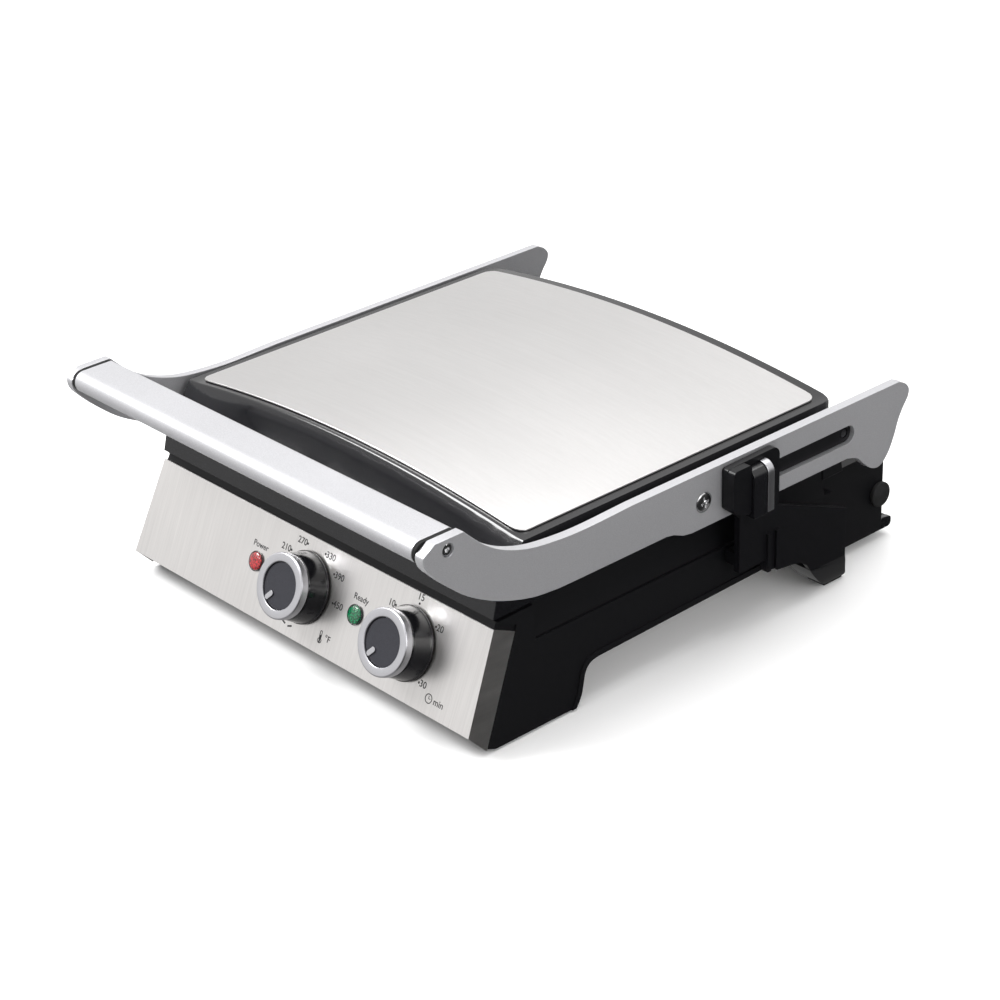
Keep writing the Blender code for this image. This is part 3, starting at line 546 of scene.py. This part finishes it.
# ---------------------------------------------------------------- operators
class PRESS_OT_cover(bpy.types.Operator):
    """Steel cover of the lid and the black housing under it"""

    bl_idname = "press.cover"
    bl_label = "Lid"

    def execute(self, context):
        softened("top_cover", "steel_cover", "lid", "cover", sizes().sheet_edge, 3, 50, 25)
        softened("lid_housing", "lid_shell", "lid", "gloss", sizes().casing_edge, 2, 38,
                 38)
        for _, word in SIDES:
            softened("float_bush_" + word, "lid_bush_" + word, "lid", "rubber", 0.4 * MM, 2, 40)
        return {"FINISHED"}


class PRESS_OT_plates(bpy.types.Operator):
    """Cast cooking plates, heaters and reflectors"""

    bl_idname = "press.plates"
    bl_label = "Cooking plates"

    def execute(self, context):
        for level, body in (("lower", "base"), ("upper", "lid")):
            softened(level + "_plate", level + "_grill", body, "cast", 0.45 * MM, 2, 30)
            dress(level + "_element", "tube")
            dress(level + "_reflector", "plain_steel")
        return {"FINISHED"}


def dress(node, finish):
    """Give a CAD node that stays its finish."""
    obj = frame["nodes"][node]
    obj.data.materials.clear()
    obj.data.materials.append(finishes[finish].material)


class PRESS_OT_arms(bpy.types.Operator):
    """Both arms with the bevel round their outer faces, and their screws"""

    bl_idname = "press.arms"
    bl_label = "Arms"

    def execute(self, context):
        for side, word in SIDES:
            self.arm(side, word)
            self.pivot_screw(side, word)
            self.handle_screw(side, word)
            softened("handle_gasket_" + word, "gasket_ring_" + word, "arms", "rubber", 0.5 * MM, 2, 40)
        return {"FINISHED"}

    def arm(self, side, word):
        """Satin arm with its bevel, standing in for the frame's arm."""
        node = "arm_" + word
        outer = high(node).x if side > 0 else low(node).x
        holes = [(middle("pivot_screw_" + word), 9 * MM), (middle("handle_screw_" + word), 6 * MM)]
        slot_low, slot_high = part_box("slot_shoe_" + word)
        bm = copied(node)
        rim, rest = [], []
        for edge in sharp_edges(bm, 30):
            mid = (edge.verts[0].co + edge.verts[1].co) / 2
            in_hole = any(math.hypot(mid.y - c.y, mid.z - c.z) < reach for c, reach in holes)
            in_slot = (slot_low.y - 9 * MM < mid.y < slot_high.y + 1 * MM
                       and slot_low.z - 1 * MM < mid.z < slot_high.z + 1 * MM)
            flat = all(abs(v.co.x - outer) < 0.01 * MM for v in edge.verts)
            if flat and not in_hole and not in_slot:
                rim.append(edge)
            elif not in_hole or flat:
                rest.append(edge)
        rounded_edges(bm, rim, sizes().arm_edge, 4)
        rest = [e for e in rest if e.is_valid]
        rounded_edges(bm, rest, 0.4 * MM, 2)
        piece(bm, "side_arm_" + word, "arms", "silver", (node,), 30)

    def pivot_screw(self, side, word):
        """Cross-head screw the lid floats on."""
        node = "pivot_screw_" + word
        face = high(node).x if side > 0 else low(node).x
        mid = middle(node)
        centre = Vector((face, mid.y, mid.z))
        head = (high(node).z - low(node).z) / 2
        profile = [(3 * MM, -24 * MM), (3 * MM, -3.6 * MM), (head - 0.2 * MM, -3.6 * MM)]
        profile += [(head - 0.2 * MM, -1.3 * MM), (head - 0.5 * MM, -0.95 * MM)]
        profile += [(head * (1 - k / 8), -0.9 * MM + 0.85 * MM * math.sin(math.pi / 2 * k / 8))
                    for k in range(1, 9)]
        bm = turned(centre, (side, 0, 0), profile, 64)
        screw = piece(bm, "cross_screw_" + word, "arms", "bright", (node,), 40)
        tools = []
        for turn in (12, 102):
            axes = Matrix.Rotation(math.radians(turn), 3, "X")
            tools.append(block(centre, (3.4 * MM, 6.6 * MM, 1.25 * MM), axes))
        tools.append(turned(centre, (side, 0, 0), [(0.3 * MM, -2.6 * MM), (1.9 * MM, 0.5 * MM)], 24))
        carve(screw, *tools)

    def handle_screw(self, side, word):
        """Hexagon socket screw through the arm into the handle."""
        node = "handle_screw_" + word
        face = high(node).x if side > 0 else low(node).x
        mid = middle(node)
        centre = Vector((face, mid.y, mid.z))
        profile = [(1.9 * MM, -24 * MM), (1.9 * MM, -3 * MM), (3.7 * MM, -3 * MM), (3.7 * MM, -0.5 * MM),
                   (3.5 * MM, -0.2 * MM), (3.1 * MM, 0.0)]
        bm = turned(centre, (side, 0, 0), profile, 48)
        screw = piece(bm, "socket_screw_" + word, "arms", "bright", (node,), 40)
        carve(screw, turned(centre, (side, 0, 0), [(1.75 * MM, -1.9 * MM), (1.75 * MM, 0.5 * MM)], 6))


class PRESS_OT_handle(bpy.types.Operator):
    """Handle bar: flat on top, full round in front"""

    bl_idname = "press.handle"
    bl_label = "Handle"

    def execute(self, context):
        lowest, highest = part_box("handle_bar")
        edge = sizes().sheet_edge
        radius = (highest.z - lowest.z) / 2

        def section(x, inset):
            r, back = radius - inset, 3 * MM
            y0, y1 = lowest.y + radius, highest.y - inset
            zm = (lowest.z + highest.z) / 2
            points = arc((y0, zm), r, 90, 270, 40)
            points += arc((y1 - back, zm - r + back), back, -90, 0, 8)
            points += arc((y1 - back, zm + r - back), back, 0, 90, 8)
            return [(x, y, z) for y, z in points]

        rings = []
        for x, inset in ((lowest.x, edge), (lowest.x + 0.3 * edge, 0.3 * edge), (lowest.x + edge, 0.0),
                         (highest.x - edge, 0.0), (highest.x - 0.3 * edge, 0.3 * edge), (highest.x, edge)):
            rings.append(section(x, inset))
        piece(rings_solid(rings), "grip_bar", "arms", "silver", ("handle_bar",), 30)
        return {"FINISHED"}


class PRESS_OT_panel(bpy.types.Operator):
    """Bent steel control panel with its printed scales"""

    bl_idname = "press.panel"
    bl_label = "Control panel"

    def execute(self, context):
        softened("front_panel", "control_panel", "base", "panel", sizes().sheet_edge, 2, 30)
        radius = sizes().scale_radius
        self.scale("thermostat", radius + 1.8 * MM,
                   ((-50, "210"), (-17, "270"), (21, "330"), (53, "390"), (91, "450")))
        self.scale("timer", radius, ((-46, "10"), (1, "15"), (47, "20"), (136, "30")))
        for x, up, words in ((-47.4, 10.2, "Power"), (48.8, 10.4, "Ready")):
            self.words(words, x * MM, up * MM, "label_" + words.lower(), 0.92)
        self.off_marks()
        self.thermometer(24.0 * MM, -22.6 * MM, 1.3)
        self.clock(DIALS["timer"]["pos_m"][0] + 27.9 * MM, -23.4 * MM, 1.15)
        return {"FINISHED"}

    def words(self, text, x, up, name, scale=1.0):
        """Printed words or numbers, a hair above the sheet."""
        curve = bpy.data.curves.new(name, "FONT")
        curve.body = text
        curve.size = sizes().print_height * scale / 0.7
        curve.align_x = "CENTER"
        curve.align_y = "CENTER"
        curve.extrude = 0.02 * MM
        curve.offset = 0.05 * MM
        curve.resolution_u = 4
        holder = bpy.data.objects.new(name, curve)
        bpy.context.scene.collection.objects.link(holder)
        graph = bpy.context.evaluated_depsgraph_get()
        mesh = bpy.data.meshes.new_from_object(holder.evaluated_get(graph))
        bpy.data.objects.remove(holder, do_unlink=True)
        bm = bmesh.new()
        bm.from_mesh(mesh)
        bmesh.ops.transform(bm, verts=bm.verts, matrix=Matrix.Translation(on_panel(x, up, 0.05 * MM))
                            @ PANEL_AXES.to_4x4())
        return piece(bm, name, "base", "ink", (), 30)

    def dot(self, x, up, name, radius=0.75 * MM):
        bm = turned(on_panel(x, up), OUT, [(radius, 0.02 * MM), (radius, 0.07 * MM)], 24)
        return piece(bm, name, "base", "ink")

    def scale(self, dial, radius, marks):
        """Dots and numbers round a dial; angles are clockwise from the top."""
        middle_x = DIALS[dial]["pos_m"][0]
        height = sizes().print_height
        for angle, text in marks:
            a = math.radians(angle)
            x, up = middle_x + radius * math.sin(a), radius * math.cos(a)
            self.dot(x, up, f"{dial}_dot_{text}")
            upright = abs(angle) < 5
            gap = 0.33 * len(text) * height + 0.9 * MM
            self.words(text, x if upright else x + math.copysign(gap, a),
                       up + (height * 0.95 if upright else 0), f"{dial}_number_{text}")

    def stroke(self, name, points, width=0.5 * MM, closed=False):
        """Printed line of a given width through points (x, up)."""
        bm = bmesh.new()
        count = len(points)
        pairs = []
        for i, (x, up) in enumerate(points):
            here = Vector((x, up))
            after = Vector(points[(i + 1) % count] if closed or i + 1 < count else points[i])
            before = Vector(points[i - 1] if closed or i else points[i])
            run = (after - before).normalized()
            side = Vector((-run.y, run.x)) * width / 2
            pairs.append((here + side, here - side))
        rows = [[bm.verts.new(on_panel(p.x, p.y, 0.06 * MM)) for p in pair] for pair in pairs]
        for i in range(count if closed else count - 1):
            first, second = rows[i], rows[(i + 1) % count]
            bm.faces.new((first[0], first[1], second[1], second[0]))
        made = bmesh.ops.extrude_face_region(bm, geom=bm.faces[:])
        bmesh.ops.translate(bm, vec=-OUT * 0.04 * MM,
                            verts=[v for v in made["geom"] if isinstance(v, bmesh.types.BMVert)])
        return piece(bm, name, "base", "ink")

    def off_marks(self):
        """Two short bars below the first dial where it stands when off."""
        for k, (x, up) in enumerate(((-10.2, -25.6), (-4.1, -26.4))):
            a = math.radians(20 * (1 - 2 * k))
            dx, dy = 1.9 * MM * math.cos(a), 1.9 * MM * math.sin(a)
            self.stroke(f"off_mark_{k}", [(x * MM - dx, up * MM + dy), (x * MM + dx, up * MM - dy)],
                        1.1 * MM)

    def thermometer(self, x, up, k):
        """Thermometer sign and its unit, k times the plain size."""
        m = MM * k
        bulb = [(x + px, up - 1.9 * m + py) for px, py in arc((0, 0), 1.15 * m, 120, 420, 20)]
        tube = [(x + px, up + 2.2 * m + py) for px, py in arc((0, 0), 0.6 * m, 0, 180, 8)]
        self.stroke("heat_sign", bulb + tube, 0.42 * m, True)
        self.stroke("heat_column", [(x, up - 2.9 * m), (x, up + 0.8 * m)], 0.9 * m)
        self.words("°F", x + 4.9 * m, up + 0.3 * m, "heat_unit", 0.98)

    def clock(self, x, up, k):
        """Clock sign and its unit, k times the plain size."""
        m = MM * k
        self.stroke("clock_rim", [(x + px, up + py) for px, py in arc((0, 0), 2.35 * m, 0, 352.5, 47)],
                    0.5 * m, True)
        self.stroke("clock_hands", [(x, up + 1.5 * m), (x, up), (x + 1.3 * m, up)], 0.45 * m)
        self.words("min", x + 7.4 * m, up - 0.2 * m, "time_unit", 0.98)


class PRESS_OT_dials(bpy.types.Operator):
    """Thermostat and timer dials: barrel, ring, face and pointer"""

    bl_idname = "press.dials"
    bl_label = "Dials"

    def execute(self, context):
        for stem, joint in DIALS.items():
            self.dial(stem, Vector(joint["pos_m"]))
        return {"FINISHED"}

    def dial(self, stem, centre):
        steps = sizes().dial_steps
        body = stem + "_dial"
        outer = (high(stem + "_ring").x - low(stem + "_ring").x) / 2
        foot = (high(stem + "_knob").x - low(stem + "_knob").x) / 2
        face_r = (high(stem + "_disc").x - low(stem + "_disc").x) / 2
        top = max((v.co - on_panel(0)).dot(OUT) for v in frame["nodes"][stem + "_ring"].data.vertices)
        barrel = [(3 * MM, -4.7 * MM), (3 * MM, 1 * MM), (foot - 0.4 * MM, 1.0 * MM)]
        barrel += arc((foot - 0.6 * MM, 1.8 * MM), 0.6 * MM, -60, 70, 6)
        barrel += [(foot - 0.75 * MM, 3.2 * MM), (foot - 0.85 * MM, 4.2 * MM),
                   (outer - 0.1 * MM, top - 7.6 * MM), (outer - 0.3 * MM, top - 6.5 * MM),
                   (outer - 0.7 * MM, top - 6.0 * MM), (16.8 * MM, top - 5.98 * MM),
                   (16.8 * MM, top - 4.0 * MM)]
        piece(turned(centre, OUT, barrel, steps), stem + "_barrel", body, "gloss", (stem + "_knob",),
              32)
        ring = [(outer - 3.0 * MM, top - 5.66 * MM), (outer - 0.8 * MM, top - 5.7 * MM),
                (outer - 0.2 * MM, top - 5.5 * MM), (outer - 0.02 * MM, top - 4.9 * MM),
                (outer, top - 1.5 * MM)]
        ring += [(outer - 1.0 * MM + 1.0 * MM * math.cos(a), top - 1.1 * MM + 1.0 * MM * math.sin(a))
                 for a in (math.pi / 2 * k / 6 for k in range(7))]
        bore = face_r + 0.35 * MM
        ring += [(outer - 3.2 * MM, top - 0.02 * MM), (bore + 0.5 * MM, top - 0.15 * MM),
                 (bore + 0.08 * MM, top - 0.5 * MM), (bore, top - 1.4 * MM), (bore, top - 3.6 * MM),
                 (17.0 * MM, top - 3.65 * MM), (17.0 * MM, top - 5.66 * MM)]
        hoop(stem + "_hoop", centre, ring, steps, body, stem + "_ring")
        face = [(face_r - 0.15 * MM, top - 3.7 * MM), (face_r, top - 3.6 * MM), (face_r, top - 1.6 * MM),
                (face_r - 0.3 * MM, top - 1.42 * MM), (9 * MM, top - 1.38 * MM), (0.0, top - 1.36 * MM)]
        piece(turned(centre, OUT, face, steps), stem + "_face", body, "charcoal", (stem + "_disc",),
              30)
        softened(stem + "_pointer", stem + "_mark", body, "ring", 0.25 * MM, 2, 50, 30)


class PRESS_OT_lamps(bpy.types.Operator):
    """Power and ready lamps: jewel lenses in black bezels"""

    bl_idname = "press.lamps"
    bl_label = "Lamps"

    def execute(self, context):
        for stem, finish, slot in (("power", "red", "red_lens"), ("ready", "green", "green_lens")):
            x = middle(stem + "_bezel").x
            outer = (high(stem + "_bezel").x - low(stem + "_bezel").x) / 2
            centre = on_panel(x)
            lens_r = (high(stem + "_lamp").x - low(stem + "_lamp").x) / 2
            section = [(outer - 0.47 * MM, 0.3 * MM), (outer - 0.06 * MM, 0.3 * MM), (outer, 0.5 * MM)]
            section += arc((outer - 0.24 * MM, 0.84 * MM), 0.24 * MM, 0, 180, 8)
            section += [(outer - 0.5 * MM, 0.5 * MM)]
            hoop(stem + "_rim", centre, section, 64, "base", stem + "_bezel")
            lens = [(4.2 * MM, -12 * MM), (4.2 * MM, 0.3 * MM), (lens_r, 0.3 * MM)]
            lens += [(lens_r * math.cos(a), 1.0 * MM + 1.45 * MM * math.sin(a))
                     for a in (math.pi / 2 * k / 12 for k in range(13))]
            piece(turned(centre, OUT, lens, 48), stem + "_lens", "base", finish, (stem + "_lamp",), 30)
            bpy.data.objects[stem + "_rim"].data.materials[0] = finishes["gloss"].material
        return {"FINISHED"}


class PRESS_OT_base(bpy.types.Operator):
    """Base casing, its feet, legs, bumpers, posts and bottom cover"""

    bl_idname = "press.base"
    bl_label = "Base"

    def execute(self, context):
        edge = sizes().casing_edge
        softened("base_housing", "base_casing", "base", "black", edge, 2, 32)
        softened("bottom_cover", "bottom_sheet", "base", "plain_steel", 0.25 * MM, 1, 40)
        softened("cord_inlet", "cord_bush", "base", "rubber", 0.4 * MM, 2, 40)
        for _, word in SIDES:
            softened("front_pad_" + word, "front_foot_" + word, "base", "rubber", 0.4 * MM, 2, 40)
            softened("rear_pad_" + word, "rear_foot_" + word, "base", "rubber", 0.4 * MM, 2, 40)
            softened("rear_leg_" + word, "rear_wing_" + word, "base", "fine_black", edge, 2, 32)
            softened("rear_bumper_" + word, "bumper_" + word, "base", "rubber", 0.8 * MM, 3, 40)
            softened("hinge_post_" + word, "hinge_bracket_" + word, "base", "black", 0.5 * MM, 2, 40)
            softened("guide_mount_" + word, "guide_foot_" + word, "base", "black", 0.5 * MM, 2, 40)
        for node in ("thermostat_switch", "timer_switch"):
            dress(node, "charcoal")
        return {"FINISHED"}


class PRESS_OT_guides(bpy.types.Operator):
    """Arm guides and the lock slider with its bright trim"""

    bl_idname = "press.guides"
    bl_label = "Arm guides and lock"

    def execute(self, context):
        for _, word in SIDES:
            softened("arm_guide_" + word, "guide_tower_" + word, "base", "fine_black", sizes().casing_edge, 3,
                     32)
        softened("lock_slider", "lock_button", "lock", "gloss", 0.6 * MM, 3, 32)
        softened("lock_trim", "lock_band", "lock", "ring", 0.5 * MM, 3, 32)
        return {"FINISHED"}


class PRESS_OT_hinge(bpy.types.Operator):
    """Hinge rod and the shoes that run in the arms' slots"""

    bl_idname = "press.hinge"
    bl_label = "Hinge"

    def execute(self, context):
        softened("hinge_rod", "hinge_pin", "hinge_block", "dark_steel", 0.4 * MM, 2, 40)
        for _, word in SIDES:
            softened("slot_shoe_" + word, "slide_shoe_" + word, "hinge_block", "black", 0.4 * MM, 2, 40)
        return {"FINISHED"}


class PRESS_OT_tray(bpy.types.Operator):
    """Drip tray behind the base"""

    bl_idname = "press.tray"
    bl_label = "Drip tray"

    def execute(self, context):
        softened("drip_tray", "fat_tray", "tray", "gloss", 0.6 * MM, 2, 32)
        return {"FINISHED"}


class PRESS_OT_stage(bpy.types.Operator):
    """Pale floor, soft studio light and the camera"""

    bl_idname = "press.stage"
    bl_label = "Stage"

    VIEW = (48.54, 27.13, -1.98)
    EYE = (1.1461, -1.01385, 0.8308)

    def execute(self, context):
        self.floor()
        self.sky()
        self.lamp("key", (-1.3, -1.2, 1.8), (0, 0, 0.05), 1.1, 66)
        self.lamp("top", (-0.2, 0.5, 2.3), (0, 0, 0), 2.2, 42)
        self.lamp("side", (2.0, -0.1, 1.0), (0, 0, 0.1), 1.1, 13)
        self.camera()
        scene = bpy.context.scene
        scene.view_settings.view_transform = "Standard"
        return {"FINISHED"}

    def floor(self):
        """Pale matt disc under the press."""
        f = Finish("floor_paint", specular_ior_level=0.2)
        cloud = f.noise(1.2, 2.0, 0.5)
        pale = tuple(colours().floor)
        f.set(base_color=f.mix(cloud, tint(pale, 0.99), pale), roughness=0.7 + (cloud - 0.5) * 0.05)
        bm = bmesh.new()
        bmesh.ops.create_circle(bm, cap_ends=True, radius=9.0, segments=96)
        mesh = bpy.data.meshes.new("floor")
        bm.to_mesh(mesh)
        bm.free()
        mesh.materials.append(f.material)
        obj = bpy.data.objects.new("floor", mesh)
        bpy.context.scene.collection.objects.link(obj)
        obj.visible_glossy = False

    def sky(self):
        """Soft white surroundings, darker low on the right."""
        world = bpy.data.worlds.new("studio")
        bpy.context.scene.world = world
        world.use_nodes = True
        sky = Finish.__new__(Finish)
        sky.tree = world.node_tree
        place = sky.node("ShaderNodeTexCoord", output="Generated")
        x = sky.node("ShaderNodeSeparateXYZ", None, (place,), 0)
        z = sky.node("ShaderNodeSeparateXYZ", None, (place,), 2)
        right = x.ramp(0.15, 0.6) * (1 - z.ramp(-0.05, 0.35))
        level = (0.30 + z.ramp(-0.5, 0.2) * 0.55) * (1 - right * 0.94)
        background = world.node_tree.nodes["Background"]
        sky.feed(background.inputs["Strength"], level)
        background.inputs["Color"].default_value = (1.0, 0.995, 0.99, 1.0)

    def lamp(self, name, place, aim, width, power):
        data = bpy.data.lights.new(name, "AREA")
        data.shape = "SQUARE"
        data.size = width
        data.energy = power
        obj = bpy.data.objects.new(name, data)
        bpy.context.scene.collection.objects.link(obj)
        obj.location = place
        obj.rotation_euler = (Vector(aim) - Vector(place)).to_track_quat("-Z", "Y").to_euler()

    def camera(self):
        azimuth, elevation, roll = (math.radians(v) for v in self.VIEW)
        back = Vector((math.sin(azimuth) * math.cos(elevation), -math.cos(azimuth) * math.cos(elevation),
                       math.sin(elevation)))
        right = Vector((math.cos(azimuth), math.sin(azimuth), 0))
        up = back.cross(right)
        right = right * math.cos(roll) + up * math.sin(roll)
        up = back.cross(right)
        data = bpy.data.cameras.new("camera")
        data.lens = 97.0
        data.sensor_width = 36.0
        obj = bpy.data.objects.new("camera", data)
        bpy.context.scene.collection.objects.link(obj)
        turn = Matrix((right, up, back)).transposed().to_4x4()
        obj.matrix_world = Matrix.Translation(self.EYE) @ turn
        bpy.context.scene.camera = obj


class PRESS_PT_panel(bpy.types.Panel):
    """Steps that build the press, in order"""

    bl_idname = "PRESS_PT_panel"
    bl_label = "Panini Press"
    bl_space_type = "VIEW_3D"
    bl_region_type = "UI"
    bl_category = "Press"

    def draw(self, context):
        for group in (context.scene.press_sizes, context.scene.press_colours):
            box = self.layout.box()
            for name in type(group).__annotations__:
                box.prop(group, name)
        for step in STEPS:
            self.layout.operator(step.bl_idname)


STEPS = (PRESS_OT_cover, PRESS_OT_plates, PRESS_OT_arms, PRESS_OT_handle, PRESS_OT_panel, PRESS_OT_dials,
         PRESS_OT_lamps, PRESS_OT_base, PRESS_OT_guides, PRESS_OT_hinge, PRESS_OT_tray, PRESS_OT_stage)
CLASSES = (PressSizes, PressColours, *STEPS, PRESS_PT_panel)


def register():
    for made in CLASSES:
        bpy.utils.register_class(made)
    bpy.types.Scene.press_sizes = bpy.props.PointerProperty(type=PressSizes)
    bpy.types.Scene.press_colours = bpy.props.PointerProperty(type=PressColours)


def unregister():
    del bpy.types.Scene.press_colours
    del bpy.types.Scene.press_sizes
    for made in reversed(CLASSES):
        bpy.utils.unregister_class(made)


def main():
    register()
    make_finishes()
    bpy.ops.press.cover()
    bpy.ops.press.plates()
    bpy.ops.press.arms()
    bpy.ops.press.handle()
    bpy.ops.press.panel()
    bpy.ops.press.dials()
    bpy.ops.press.lamps()
    bpy.ops.press.base()
    bpy.ops.press.guides()
    bpy.ops.press.hinge()
    bpy.ops.press.tray()
    bpy.ops.press.stage()


if __name__ == "__main__":
    main()
